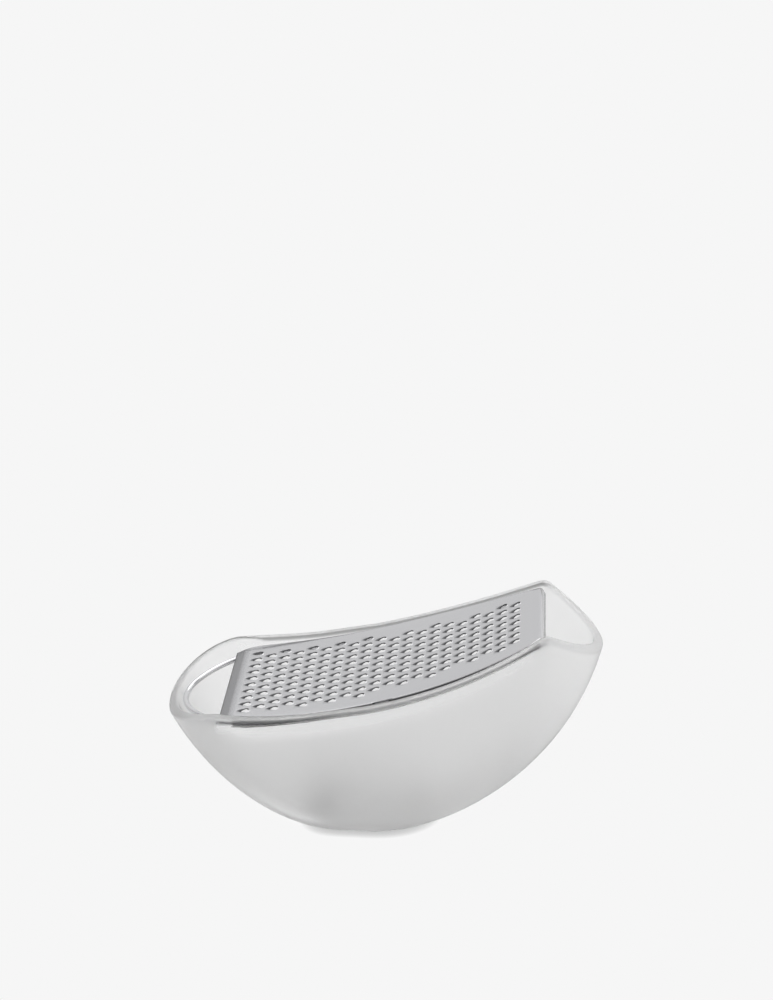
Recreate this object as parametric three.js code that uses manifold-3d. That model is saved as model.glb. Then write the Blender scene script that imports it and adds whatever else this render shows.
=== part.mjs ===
// A small table grater: a frosted boat-shaped container with a curved steel grating plate in its mouth.
// Millimetres, +Z up. X runs from the pouring mouth (-) to the heel (+), Y is across.
// The origin is on the table, under the middle of the container.
import * as THREE from 'three';
import { ConvexGeometry } from 'three/addons/geometries/ConvexGeometry.js';
import { mergeGeometries, mergeVertices } from 'three/addons/utils/BufferGeometryUtils.js';
import Module from 'manifold-3d';

const wasm = await Module();
wasm.setup();

// Container: each level is a plan outline, blunt at the mouth and elliptical at the heel.
const HULL_HALF_LENGTH = 81.9; // of the widest level, which lies above the rim
const HULL_HALF_WIDTH = 30.8;
const HULL_CENTRE_Z = 92; // height of the widest level
const BASE_HALF_LENGTH = 18; // of the flat that it stands on
const MOUTH_POWER = 5.9; // 2 makes the plan an ellipse, more makes that end blunter
const HEEL_POWER = 2.3;
const SECTION_POWER = 3.5; // the same for the section across
const WALL = 3.4;
const FLOOR = 3;

// Rim seen from the side: an arc that dips at the mouth and climbs to a peak, then a straight fall.
const MOUTH_RIM_Z = 53.1; // height at which the arc would meet the mouth's end
const PEAK_Z = 83.5; // of the peak before it is rounded
const PEAK_SETBACK = 20; // from the heel's end
const PEAK_ROUNDING = 2.2; // along X, on each side of the peak
const HEEL_DROP = 12.3; // from the peak to the heel's end
const RIM_ARC_RADIUS = 218;
const LIP_LENGTH = 21.9; // of the stretch that dips for pouring
const LIP_CURL = 15.7; // how far behind the lip's end its dip gets steep
const LIP_DIP = 8.7;

// Steel grating plate: a sheet curved less than the rim, with its long edges and its heel edge turned down.
const SHEET = 0.6;
const PLATE_ARC_RADIUS = 288;
const PLATE_MOUTH_DROP = 2.8; // from the rim's arc to the face of the plate, at each end
const PLATE_HEEL_DROP = 0.9;
const PLATE_CLEARANCE = 0.3; // from the container's wall to the turned-down edges
const PLATE_MOUTH_GAP = 20.7; // from the mouth's end to the plate's end strip
const PLATE_HEEL_GAP = 1.3; // from the peak to the plate's heel end
const EDGE_HEIGHT = 1.6; // of the turned-down long edges
const HEEL_EDGE_HEIGHT = 3.2;
const RELIEF_WIDTH = 1.8; // of the gap in the turned-down edges, at the end strip's fold
const STRIP_LENGTH = 3; // of the end strip, bent down at the mouth
const STRIP_ANGLE = 10; // degrees below the plate

// Teeth: openings in staggered columns, each with a ramp that leads into it and a raised blade behind it.
const RAMP_LENGTH = 2.3; // from its pointed start to the hole
const HOLE_LENGTH = 2.7;
const HOLE_WIDTH = 2.5;
const HOLE_SHIFT = 0.4; // of the hole's middle from the tooth's place, towards the heel
const HOLE_CORNER = 0.55; // by which each side of the hole comes in at its ends
const BLADE_HEIGHT = 0.4; // above the sheet
const BLADE_LENGTH = 0.9; // of the slope behind the blade's edge
const BLADE_OVERHANG = 0.1; // of the blade's edge over the hole
const COLUMN_PITCH = 5.04;
const ROW_PITCH = 4.36;
const FIELD_HALF_WIDTH = 20.8;
const FIELD_MOUTH_MARGIN = 6.2; // from the fold to the first column
const FIELD_HEEL_MARGIN = 7.2;
const TAPER_START = 7; // column from which the field narrows
const TAPER = 0.43; // narrowing on each side, per column

// Wire loop: one bent wire under both long edges of the plate, with a bow that hangs in the mouth.
const WIRE_DIAMETER = 2;
const WIRE_GAP = 0.25; // to the sheet above it
const WIRE_SETBACK = 1.15; // from the turned-down edges
const WIRE_END_GAP = 0.6; // to the plate's heel edge
const BOW_LENGTH = 14.9; // from the end strip to the middle of the wire at the bow's tip
const BOW_DROP = 3; // of the tip below the bow's ends
const BOW_POWER = 1.2; // 2 makes it an ellipse, less makes it more pointed

// Seat: a shelf inside the rim, and a locating rib on each side that enters a notch in the plate's edge.
const SHELF_WIDTH = 1.7;
const SHELF_THICKNESS = 2;
const SEAT_CLEARANCE = 0.2;
const RIB_LENGTH = 4.6;
const RIB_SHIFT = 1.05; // of the ribs from the middle of the plate, towards the heel
const NOTCH_CLEARANCE = 0.4;

// Fineness of the faceted curves.
const HULL_SEGMENTS = 64;
const HULL_LEVELS = 11;
const LEVEL_GROWTH = 1.5; // packs the levels towards the base
const ARC_SEGMENTS = 8; // an arc is drawn with twice as many sides
const WIRE_SIDES = 4; // likewise doubled
const WIRE_STEPS = 64;
const LEG_POINTS = 14;
const BOW_POINTS = 24;
const JOIN = 0.2; // how far a solid is sunk into one that it joins, or a tooth reaches past the sheet
const BEYOND = 5; // how far a cutting solid reaches past what it cuts
const WELD = 1e-3; // corners this close are one corner

const KEEL_DEPTH = HULL_CENTRE_Z / Math.sqrt(1 - (BASE_HALF_LENGTH / HULL_HALF_LENGTH) ** 2);
const TOP = PEAK_Z + BEYOND;

/** Half length of the level at height z, of the hull shrunk by inset. */
function halfLength(z, inset) {
  const depth = Math.min(1, Math.abs(HULL_CENTRE_Z - z) / (KEEL_DEPTH - inset));
  return (HULL_HALF_LENGTH - inset) * Math.sqrt(1 - depth ** 2);
}

/** Half width of the level at height z, of the hull shrunk by inset. */
function halfWidth(z, inset) {
  const depth = Math.min(1, Math.abs(HULL_CENTRE_Z - z) / (KEEL_DEPTH - inset));
  return (HULL_HALF_WIDTH - inset) * (1 - depth ** SECTION_POWER) ** (1 / SECTION_POWER);
}

/** Point of a level's outline, for a direction (c, s) on the unit circle. */
function planPoint(c, s, z, inset) {
  const power = c < 0 ? MOUTH_POWER : HEEL_POWER;
  return [halfLength(z, inset) * Math.sign(c) * Math.abs(c) ** (2 / power), halfWidth(z, inset) * s];
}

/** Half width of the outline at x. */
function planWidth(x, z, inset) {
  const power = x < 0 ? MOUTH_POWER : HEEL_POWER;
  return halfWidth(z, inset) * Math.sqrt(1 - (Math.abs(x) / halfLength(z, inset)) ** power);
}

/** The circle through two points of the side view, that hangs down between them. */
function arcThrough(x0, z0, x1, z1, radius) {
  const chord = Math.hypot(x1 - x0, z1 - z0);
  const height = Math.sqrt(radius ** 2 - (chord / 2) ** 2);
  const x = (x0 + x1) / 2 - ((z1 - z0) / chord) * height;
  const z = (z0 + z1) / 2 + ((x1 - x0) / chord) * height;
  return { x, z, radius };
}

/** Angle at an arc's centre of its point at x, with the arc lowered by drop. */
function arcAngle(arc, x, drop) {
  return Math.asin((x - arc.x) / (arc.radius + drop)) - Math.PI / 2;
}

/** Height of an arc at x, lowered by drop. */
function arcZ(arc, x, drop) {
  return arc.z + (arc.radius + drop) * Math.sin(arcAngle(arc, x, drop));
}

const LIP_Z = MOUTH_RIM_Z - LIP_DIP;
const MOUTH_X = -halfLength(LIP_Z, 0);
const PEAK_X = halfLength(PEAK_Z - HEEL_DROP, 0) - PEAK_SETBACK;
const RIM_ARC = arcThrough(MOUTH_X, MOUTH_RIM_Z, PEAK_X, PEAK_Z, RIM_ARC_RADIUS);

const PLATE_START = MOUTH_X + PLATE_MOUTH_GAP;
const PLATE_END = PEAK_X - PLATE_HEEL_GAP;
const FOLD_X = PLATE_START + STRIP_LENGTH;
const EDGE_START = FOLD_X + RELIEF_WIDTH;
const PLATE_INSET = WALL + PLATE_CLEARANCE;
const PLATE_START_Z = arcZ(RIM_ARC, PLATE_START, 0) - PLATE_MOUTH_DROP;
const PLATE_END_Z = arcZ(RIM_ARC, PLATE_END, 0) - PLATE_HEEL_DROP;
const PLATE_ARC = arcThrough(PLATE_START, PLATE_START_Z, PLATE_END, PLATE_END_Z, PLATE_ARC_RADIUS);

const WIRE_RADIUS = WIRE_DIAMETER / 2;
const WIRE_INSET = PLATE_INSET + SHEET + WIRE_SETBACK + WIRE_RADIUS;
const WIRE_DROP = SHEET + WIRE_GAP + WIRE_RADIUS;
const STRIP_SLOPE = THREE.MathUtils.degToRad(STRIP_ANGLE);
const SHELF_DROP = EDGE_HEIGHT + SEAT_CLEARANCE;
const SHELF_END = PLATE_END - SHEET - PLATE_CLEARANCE;
const RIB_START = (PLATE_START + PLATE_END - RIB_LENGTH) / 2 + RIB_SHIFT;
const RIB_END = RIB_START + RIB_LENGTH;
const BAND_LOW = PLATE_START_Z - SHELF_DROP - SHELF_THICKNESS - BEYOND;

/** A closed geometry as a solid that can be joined and cut. */
function toSolid(geometry) {
  const bare = new THREE.BufferGeometry();
  bare.setAttribute('position', geometry.getAttribute('position').clone());
  if (geometry.index) bare.setIndex(geometry.index.clone());
  const merged = mergeVertices(bare, WELD);
  const corners = merged.index.array;
  const kept = [];
  for (let i = 0; i < corners.length; i += 3) {
    const [a, b, c] = corners.subarray(i, i + 3);
    if (a !== b && b !== c && c !== a) kept.push(a, b, c);
  }
  const vertProperties = new Float32Array(merged.getAttribute('position').array);
  return new wasm.Manifold(new wasm.Mesh({ numProp: 3, vertProperties, triVerts: new Uint32Array(kept) }));
}

/** A solid as a geometry for a mesh. */
function toGeometry(solid) {
  const { vertProperties, triVerts, numProp } = solid.getMesh();
  const geometry = new THREE.BufferGeometry();
  geometry.setAttribute('position', new THREE.BufferAttribute(vertProperties, numProp));
  geometry.setIndex(new THREE.BufferAttribute(triVerts, 1));
  geometry.computeVertexNormals();
  return geometry;
}

/** The hull shrunk by inset, between two heights. */
function hullSolid(inset, low, high) {
  const profile = [new THREE.Vector2(0, low)];
  for (let k = 0; k <= HULL_LEVELS; k += 1) {
    profile.push(new THREE.Vector2(1, low + (high - low) * (k / HULL_LEVELS) ** LEVEL_GROWTH));
  }
  profile.push(new THREE.Vector2(0, high));
  const geometry = new THREE.LatheGeometry(profile, HULL_SEGMENTS);
  const position = geometry.getAttribute('position');
  for (let i = 0; i < position.count; i += 1) {
    const z = position.getY(i);
    const [x, y] = planPoint(position.getX(i), -position.getZ(i), z, inset);
    position.setXYZ(i, x, y, z);
  }
  return toSolid(geometry);
}

/** The layer between two shrunk hulls, round the mouth of the container. */
function hullLayer(inset, thickness) {
  const inner = hullSolid(inset + thickness, BAND_LOW - BEYOND, TOP + BEYOND);
  return hullSolid(inset, BAND_LOW, TOP).subtract(inner);
}

/** A side view outline, in x and z, carried across the whole width. */
function acrossSolid(shape) {
  const depth = 2 * (HULL_HALF_WIDTH + BEYOND);
  const settings = { depth, bevelEnabled: false, curveSegments: ARC_SEGMENTS };
  const geometry = new THREE.ExtrudeGeometry(shape, settings);
  geometry.rotateX(Math.PI / 2);
  geometry.translate(0, depth / 2, 0);
  return toSolid(geometry);
}

/** The space between the plate's arc lowered by top and by bottom, from x0 to x1. */
function plateBand(top, bottom, x0, x1) {
  const shape = new THREE.Shape();
  for (const [drop, from, to] of [[bottom, x0, x1], [top, x1, x0]]) {
    const [start, end] = [arcAngle(PLATE_ARC, from, drop), arcAngle(PLATE_ARC, to, drop)];
    shape.absarc(PLATE_ARC.x, PLATE_ARC.z, PLATE_ARC_RADIUS + drop, start, end, start > end);
  }
  return acrossSolid(shape);
}

/** Everything under the rim. */
function belowRim() {
  const far = HULL_HALF_LENGTH + BEYOND;
  const heelSlope = HEEL_DROP / PEAK_SETBACK;
  const peakStart = PEAK_X - PEAK_ROUNDING;
  const lipStart = MOUTH_X + LIP_LENGTH;
  const lipTop = arcZ(RIM_ARC, lipStart, 0);
  const lipSlope = (lipTop - LIP_Z) / LIP_CURL;
  const shape = new THREE.Shape();
  shape.moveTo(-far, -BEYOND);
  shape.lineTo(far, -BEYOND);
  shape.lineTo(far, PEAK_Z - heelSlope * (far - PEAK_X));
  shape.lineTo(PEAK_X + PEAK_ROUNDING, PEAK_Z - heelSlope * PEAK_ROUNDING);
  shape.quadraticCurveTo(PEAK_X, PEAK_Z, peakStart, arcZ(RIM_ARC, peakStart, 0));
  const [from, to] = [arcAngle(RIM_ARC, peakStart, 0), arcAngle(RIM_ARC, lipStart, 0)];
  shape.absarc(RIM_ARC.x, RIM_ARC.z, RIM_ARC_RADIUS, from, to, true);
  shape.quadraticCurveTo(MOUTH_X + LIP_CURL, lipTop, MOUTH_X, LIP_Z);
  shape.lineTo(-far, LIP_Z - lipSlope * (far + MOUTH_X));
  return acrossSolid(shape);
}

function containerSolid() {
  const shell = hullSolid(0, 0, TOP).subtract(hullSolid(WALL, FLOOR, TOP + BEYOND));
  const shelfBand = plateBand(SHELF_DROP, SHELF_DROP + SHELF_THICKNESS, EDGE_START, SHELF_END);
  const shelf = hullLayer(WALL - JOIN, SHELF_WIDTH + JOIN).intersect(shelfBand);
  const ribBand = plateBand(SHEET + NOTCH_CLEARANCE, SHELF_DROP + JOIN, RIB_START, RIB_END);
  const ribs = hullLayer(WALL - JOIN, PLATE_CLEARANCE + SHEET + JOIN).intersect(ribBand);
  return shell.add(shelf).add(ribs).intersect(belowRim());
}

/** Corners of the space that one tooth cuts from the sheet: along, across and up. */
function openingPoints() {
  const [start, end] = [HOLE_SHIFT - HOLE_LENGTH / 2, HOLE_SHIFT + HOLE_LENGTH / 2];
  const [wide, narrow] = [HOLE_WIDTH / 2, HOLE_WIDTH / 2 - HOLE_CORNER];
  const reach = (RAMP_LENGTH * JOIN) / SHEET;
  const rear = [[HOLE_SHIFT, wide], [end, narrow]];
  const upper = [[start - RAMP_LENGTH - reach, 0], ...rear].map((corner) => [...corner, JOIN]);
  const lower = [[start + reach, narrow], ...rear].map((corner) => [...corner, -SHEET - JOIN]);
  return [...upper, ...lower].flatMap(([along, across, up]) => [[along, across, up], [along, -across, up]]);
}

/** Corners of one tooth's blade, sunk into the sheet behind the hole. */
function bladePoints() {
  const end = HOLE_SHIFT + HOLE_LENGTH / 2;
  const half = HOLE_WIDTH / 2 - HOLE_CORNER;
  const [front, back] = [end + BLADE_OVERHANG, end + BLADE_LENGTH];
  const corners = [[end - BLADE_OVERHANG, BLADE_HEIGHT], [front, -JOIN], [back, -JOIN]];
  return corners.flatMap(([along, up]) => [[along, half, up], [along, -half, up]]);
}

/** Puts a tooth on the plate, at an angle of its arc and a distance across. */
function placeTooth(points, angle, across) {
  const tangent = new THREE.Vector3(-Math.sin(angle), 0, Math.cos(angle));
  const normal = new THREE.Vector3(-Math.cos(angle), 0, -Math.sin(angle));
  const centre = new THREE.Vector3(PLATE_ARC.x, across, PLATE_ARC.z);
  centre.addScaledVector(normal, -PLATE_ARC_RADIUS);
  const placed = points.map(([along, side, up]) => {
    const point = centre.clone().addScaledVector(tangent, along).addScaledVector(normal, up);
    point.y += side;
    return point;
  });
  return new ConvexGeometry(placed);
}

/** Angle and Y of every tooth in the staggered field. */
function toothPlaces() {
  const first = arcAngle(PLATE_ARC, FOLD_X + FIELD_MOUTH_MARGIN, 0);
  const last = arcAngle(PLATE_ARC, PLATE_END - FIELD_HEEL_MARGIN, 0);
  const step = COLUMN_PITCH / PLATE_ARC_RADIUS;
  const places = [];
  for (let column = 0; first + column * step <= last; column += 1) {
    const limit = FIELD_HALF_WIDTH - TAPER * Math.max(0, column - TAPER_START);
    const offset = column % 2 === 0 ? ROW_PITCH / 2 : 0;
    const rows = Math.floor((limit - offset) / ROW_PITCH);
    for (let row = column % 2 === 0 ? -rows - 1 : -rows; row <= rows; row += 1) {
      places.push([first + column * step, row * ROW_PITCH + offset]);
    }
  }
  return places;
}

/** The same corners at every tooth's place, as one solid of separate bodies. */
function teethSolid(points) {
  const bodies = toothPlaces().map(([angle, across]) => placeTooth(points, angle, across));
  return toSolid(mergeGeometries(bodies));
}

/** A slab under the slope of the end strip, across the whole width. */
function stripSlab(thickness) {
  const slope = arcAngle(PLATE_ARC, FOLD_X, 0) + Math.PI / 2 + STRIP_SLOPE;
  const start = new THREE.Vector2(FOLD_X + SHEET, arcZ(PLATE_ARC, FOLD_X + SHEET, JOIN));
  const along = new THREE.Vector2(-Math.cos(slope), -Math.sin(slope)).multiplyScalar(STRIP_LENGTH + SHEET);
  const down = new THREE.Vector2(Math.sin(slope), -Math.cos(slope)).multiplyScalar(thickness);
  const end = start.clone().add(along);
  return acrossSolid(new THREE.Shape([start, start.clone().add(down), end.clone().add(down), end]));
}

/** The turned-down edges of the long sides, with a notch for each rib, and of the end strip. */
function sideEdges() {
  const edgeBand = plateBand(JOIN, EDGE_HEIGHT, EDGE_START, PLATE_END);
  const [notchStart, notchEnd] = [RIB_START - NOTCH_CLEARANCE, RIB_END + NOTCH_CLEARANCE];
  const notches = plateBand(SHEET + JOIN, EDGE_HEIGHT + BEYOND, notchStart, notchEnd);
  return hullLayer(PLATE_INSET, SHEET).intersect(edgeBand.subtract(notches).add(stripSlab(EDGE_HEIGHT)));
}

function plateSolid() {
  const face = plateBand(0, SHEET, FOLD_X, PLATE_END);
  const heelEdge = plateBand(JOIN, HEEL_EDGE_HEIGHT, PLATE_END - SHEET, PLATE_END);
  const parts = face.add(heelEdge).add(stripSlab(SHEET));
  const blank = parts.intersect(hullSolid(PLATE_INSET, BAND_LOW, TOP)).add(sideEdges());
  return blank.subtract(teethSolid(openingPoints())).add(teethSolid(bladePoints()));
}

/** Point on the wire's middle line under a long edge of the plate or under the end strip, on side 1 or -1. */
function legPoint(x, side) {
  const dip = x < FOLD_X ? JOIN + (FOLD_X - x) * Math.tan(STRIP_SLOPE) : 0;
  const z = arcZ(PLATE_ARC, x, WIRE_DROP) - dip;
  return new THREE.Vector3(x, side * planWidth(x, z, WIRE_INSET), z);
}

/** Point on the middle line of the bow in the mouth, for an angle from 0 to pi. */
function bowPoint(angle) {
  const start = legPoint(PLATE_START, 1);
  const reach = Math.max(0, Math.sin(angle)) ** (2 / BOW_POWER);
  const [x, z] = [PLATE_START - BOW_LENGTH * reach, start.z - BOW_DROP * reach];
  return new THREE.Vector3(x, start.y * Math.cos(angle), z);
}

function wireGeometry() {
  const legEnd = PLATE_END - SHEET - WIRE_END_GAP;
  const legX = (k) => legEnd + ((PLATE_START - legEnd) * k) / LEG_POINTS;
  const leg = (side) => Array.from({ length: LEG_POINTS }, (_, k) => legPoint(legX(k), side));
  const bow = Array.from({ length: BOW_POINTS + 1 }, (_, k) => bowPoint((Math.PI * k) / BOW_POINTS));
  const section = new THREE.Shape();
  section.absarc(0, 0, WIRE_RADIUS, 0, 2 * Math.PI, false);
  const extrudePath = new THREE.CatmullRomCurve3([...leg(1), ...bow, ...leg(-1).reverse()]);
  return new THREE.ExtrudeGeometry(section, { steps: WIRE_STEPS, curveSegments: WIRE_SIDES, extrudePath });
}

function piece(name, geometry, look) {
  const mesh = new THREE.Mesh(geometry, new THREE.MeshStandardMaterial(look));
  mesh.name = name;
  return mesh;
}

const frosted = { color: 0xd9dbdb, roughness: 0.55, metalness: 0, transparent: true, opacity: 0.9 };
const satinSteel = { color: 0xc6c7c8, roughness: 0.3, metalness: 1 };
const brightSteel = { color: 0xd4d5d6, roughness: 0.12, metalness: 1 };

const container = piece('container', toGeometry(containerSolid()), frosted);
const insert = new THREE.Group();
insert.add(piece('grating_plate', toGeometry(plateSolid()), satinSteel));
insert.add(piece('wire_loop', wireGeometry(), brightSteel));

const grater = new THREE.Group();
grater.add(container, insert);
container.geometry.computeBoundingBox();
grater.position.x = -(container.geometry.boundingBox.min.x + container.geometry.boundingBox.max.x) / 2;

export default grater;
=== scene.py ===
"""Dresses the packed table grater: a frosted container, its grating plate and its wire loop, in a pale studio."""

import math

import bmesh
import bpy
from bpy.props import FloatProperty, FloatVectorProperty, IntProperty, PointerProperty
from mathutils import Matrix, Vector


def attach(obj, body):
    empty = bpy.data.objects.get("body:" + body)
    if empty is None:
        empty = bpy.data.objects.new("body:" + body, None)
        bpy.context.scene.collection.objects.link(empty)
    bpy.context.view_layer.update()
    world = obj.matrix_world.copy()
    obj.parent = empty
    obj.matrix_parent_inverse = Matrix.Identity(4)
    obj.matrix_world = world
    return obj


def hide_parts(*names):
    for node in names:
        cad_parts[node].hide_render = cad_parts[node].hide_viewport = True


bl_info = {
    "name": "Table Grater",
    "version": (1, 0, 0),
    "blender": (4, 5, 0),
    "location": "View3D > Sidebar > Grater",
    "description": "Models and finishes a boat-shaped table grater around its packed frame",
    "category": "Add Mesh",
}

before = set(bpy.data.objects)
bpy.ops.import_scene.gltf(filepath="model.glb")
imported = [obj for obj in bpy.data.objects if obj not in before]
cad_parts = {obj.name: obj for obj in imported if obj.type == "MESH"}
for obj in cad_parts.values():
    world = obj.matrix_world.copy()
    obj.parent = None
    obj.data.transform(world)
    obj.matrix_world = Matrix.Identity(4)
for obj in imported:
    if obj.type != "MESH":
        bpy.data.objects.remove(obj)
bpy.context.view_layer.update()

MM = 0.001


def length(name, millimetres, description):
    """A length that the user can change, written in millimetres."""
    return FloatProperty(name=name, description=description, default=millimetres * MM, unit="LENGTH", precision=5)


def linear(code):
    """An sRGB hex colour as linear values with full alpha."""
    parts = [int(code[k:k + 2], 16) / 255 for k in (1, 3, 5)]
    return tuple(p / 12.92 if p <= 0.04045 else ((p + 0.055) / 1.055) ** 2.4 for p in parts) + (1.0,)


def colour(name, code, description):
    """A colour that the user can change, written as sRGB hex."""
    return FloatVectorProperty(
        name=name, description=description, default=linear(code), size=4, min=0, max=1, subtype="COLOR"
    )


class HullSettings(bpy.types.PropertyGroup):
    """Form of the container: plan outlines stacked from the base to the rim."""

    half_length: length("Half length", 81.9, "Of the widest level, which lies above the rim")
    half_width: length("Half width", 30.8, "Of the widest level")
    centre_z: length("Widest level", 92, "Height of the widest level")
    base_half_length: length("Base half length", 18, "Of the flat that the container stands on")
    mouth_power: FloatProperty(name="Mouth power", description="Bluntness of the plan at the mouth", default=5.9)
    heel_power: FloatProperty(name="Heel power", description="Bluntness of the plan at the heel", default=2.3)
    section_power: FloatProperty(name="Section power", description="Squareness of the section across", default=3.5)
    shift: length("Shift", -4.5347, "From the origin to the middle of the hull, along X")
    wall: length("Wall", 3.4, "Thickness of the wall")
    floor: length("Floor", 3, "Thickness of the floor")


class RimSettings(bpy.types.PropertyGroup):
    """Rim of the container, seen from the side."""

    mouth_z: length("Mouth height", 53.1, "Height at which the rim's arc would meet the mouth's end")
    peak_z: length("Peak height", 83.5, "Of the peak before it is rounded")
    peak_setback: length("Peak setback", 20, "From the heel's end to the peak")
    peak_rounding: length("Peak rounding", 2.2, "Along X, on each side of the peak")
    heel_drop: length("Heel drop", 12.3, "From the peak to the heel's end")
    arc_radius: length("Arc radius", 218, "Of the rim's arc")
    lip_length: length("Lip length", 21.9, "Of the stretch that dips for pouring")
    lip_curl: length("Lip curl", 15.7, "How far behind the lip's end its dip gets steep")
    lip_dip: length("Lip dip", 8.7, "Of the lip's end below the arc")
    rounding: length("Edge rounding", 0.9, "Radius of the rim's two edges")


class SeatSettings(bpy.types.PropertyGroup):
    """Shelf and locating ribs inside the rim."""

    shelf_width: length("Shelf width", 1.7, "How far the shelf stands out from the wall")
    shelf_thickness: length("Shelf thickness", 2, "Height of the shelf's edge")
    clearance: length("Seat clearance", 0.2, "Between the shelf and the plate's edge")
    rib_length: length("Rib length", 4.6, "Along X")
    rib_shift: length("Rib shift", 1.05, "From the middle of the plate towards the heel")
    notch_clearance: length("Notch clearance", 0.4, "Between a rib and its notch in the plate")


class PlateSettings(bpy.types.PropertyGroup):
    """Curved steel sheet with its edges turned down."""

    sheet: length("Sheet", 0.6, "Thickness of the steel at its edges")
    arc_radius: length("Arc radius", 288, "Of the face of the plate")
    mouth_drop: length("Mouth drop", 2.8, "From the rim's arc to the plate at its mouth end")
    heel_drop: length("Heel drop", 0.9, "From the rim's arc to the plate at its heel end")
    clearance: length("Clearance", 0.3, "From the container's wall to the turned-down edges")
    mouth_gap: length("Mouth gap", 20.7, "From the mouth's end to the plate's end strip")
    heel_gap: length("Heel gap", 1.3, "From the peak to the plate's heel end")
    edge_height: length("Edge height", 1.6, "Of the turned-down long edges")
    heel_edge_height: length("Heel edge height", 3.2, "Of the turned-down heel edge")
    edge_bend: length("Edge bend", 0.7, "Outer radius of the long edges' bend")
    heel_bend: length("Heel bend", 1.2, "Outer radius of the heel edge's bend")
    relief_width: length("Relief width", 1.8, "Of the gap in the turned-down edges, at the fold")
    strip_length: length("Strip length", 3, "Of the end strip, bent down at the mouth")
    strip_angle: FloatProperty(
        name="Strip angle", description="Of the end strip below the plate", default=math.radians(10), subtype="ANGLE"
    )


class ToothSettings(bpy.types.PropertyGroup):
    """Field of punched teeth."""

    column_pitch: length("Column pitch", 5.04, "Along the plate")
    row_pitch: length("Row pitch", 4.36, "Across the plate")
    columns: IntProperty(name="Columns", description="Staggered columns of teeth", default=20, min=1)
    field_half_width: length("Field half width", 20.8, "Of the field of teeth at the mouth end")
    mouth_margin: length("Mouth margin", 6.2, "From the fold to the first column")
    taper_start: IntProperty(name="Taper start", description="Column from which the field narrows", default=7)
    taper: length("Taper", 0.43, "Narrowing on each side, per column")
    shift: length("Cell shift", -1.2, "Of a tooth's cell from its place, towards the heel")
    hole_start: length("Hole start", -1.0, "From the cell's middle to the hole's pointed end, at the mouth side")
    hole_end: length("Hole end", 2.0, "From the cell's middle to the hole's round end, at the heel side")
    hole_half_width: length("Hole half width", 1.2, "Across the plate")
    depth: length("Pressing depth", 0.5, "Of the pocket that leads into the hole")
    blade: length("Blade height", 0.2, "Of the cutting edge above the sheet")


class WireSettings(bpy.types.PropertyGroup):
    """Bent wire under the plate, with a bow in the mouth."""

    diameter: length("Wire", 2, "Diameter of the wire")
    gap: length("Gap", 0.25, "To the sheet above it")
    dip: length("Dip", 0.73, "Of the wire under the end strip")
    setback: length("Setback", 1.15, "From the turned-down edges")
    end_gap: length("End gap", 0.6, "To the plate's heel edge")
    bow_length: length("Bow length", 14.9, "From the end strip to the bow's tip")
    bow_drop: length("Bow drop", 3, "Of the tip below the bow's ends")
    bow_power: FloatProperty(name="Bow power", description="2 makes an ellipse, less is more pointed", default=1.2)


class FinishSettings(bpy.types.PropertyGroup):
    """Colours of the finishes."""

    resin: colour("Resin", "#FEFEFE", "Frosted resin of the container")
    # Painted shade: the dark line along the rim's inner edge, the band round the heel and the inside low down are
    # mixed towards this colour.
    edge: colour("Edge", "#707070", "Resin along the inner edge of the rim")
    plate: colour("Plate", "#C4C4C6", "Satin steel of the plate")
    # Painted shade: the tooth pockets, hole walls and turned-down edges are darkened towards this colour, and the end
    # strip is darker too.
    pressed_and_shade: colour("Pressed", "#58585A", "Steel where the press formed it")
    wire: colour("Wire", "#D2D2D4", "Polished steel of the wire")
    ground: colour("Ground", "#F6F6F6", "Floor and background")


# Container. A drop is counted down from the rim.
RIM_ZONE = 9 * MM  # drop at which the wall's rings stop following the base
LIP_ZONE = 2.8 * MM  # least drop of the seat's rings, which come below those of the rim
OUTER_DROPS = (8, 7, 6, 5, 4, 3.2, 2.5, 1.9, 1.4)  # of the rim's rings below its rounding, in mm
INNER_DROPS = (1.1, 1.6, 2.1, 2.6)
SHELF_FILLET = 0.8 * MM
SEAT_SLOPE = 0.8 * MM  # length over which the shelf and the ribs stand out
HULL_SEGMENTS = 256
RIM_PASSES = 24  # in which a point's height and its place along X settle

# Looks of the resin. Polish is 0 where it is frosted and 1 where it is clear; below 0 the mould's grain is coarser.
POLISH_START = (0.9 * MM, 1.6 * MM)  # drops between which the band beside the plate gets clear
POLISH_END = (4 * MM, 8 * MM)  # and frosted again
HEEL_WALL_MATT = 0.6  # how much coarser the grain is at the heel
HEEL_RIM_MATT = 0.9  # and on its rim
HEEL_RIM_DEPTH = (2 * MM, 8 * MM)  # drops between which one passes into the other
MOUTH_POLISH = 0.4  # how much finer the grain is low at the mouth end
MOUTH_HEIGHT = (12 * MM, 38 * MM)
MOUTH_LENGTH = (-30 * MM, 25 * MM)
EDGE_FADE = 5 * MM  # along X, at the ends of what follows the rim
RIM_SHADE_LINE = (0.25 * MM, 0.75 * MM)  # half widths of the rim's painted dark line, full and faded out
EDGE_OUTSET = 0.3 * MM  # of the far line from the rim's outer rounding, at the lip
EDGE_CROSSING = (-2 * MM, 11 * MM)  # from the plate's end, where the far line crosses the rim
HEEL_RIM_SHADE = 0.22  # how much painted shade the whole rim gets round the open heel
HEEL_RIM_SHADE_DEPTH = (0.8 * MM, 2.4 * MM)  # drops between which that fades out
INNER_SHADE = 0.3  # how much painted shade the inside gets at the bottom
HEEL_SHADE_LOSS = 0.6  # share of that shade which is missing towards the heel
SHADE_HEIGHT = (3 * MM, 22 * MM)
SHADE_LENGTH = (-20 * MM, 25 * MM)

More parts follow.
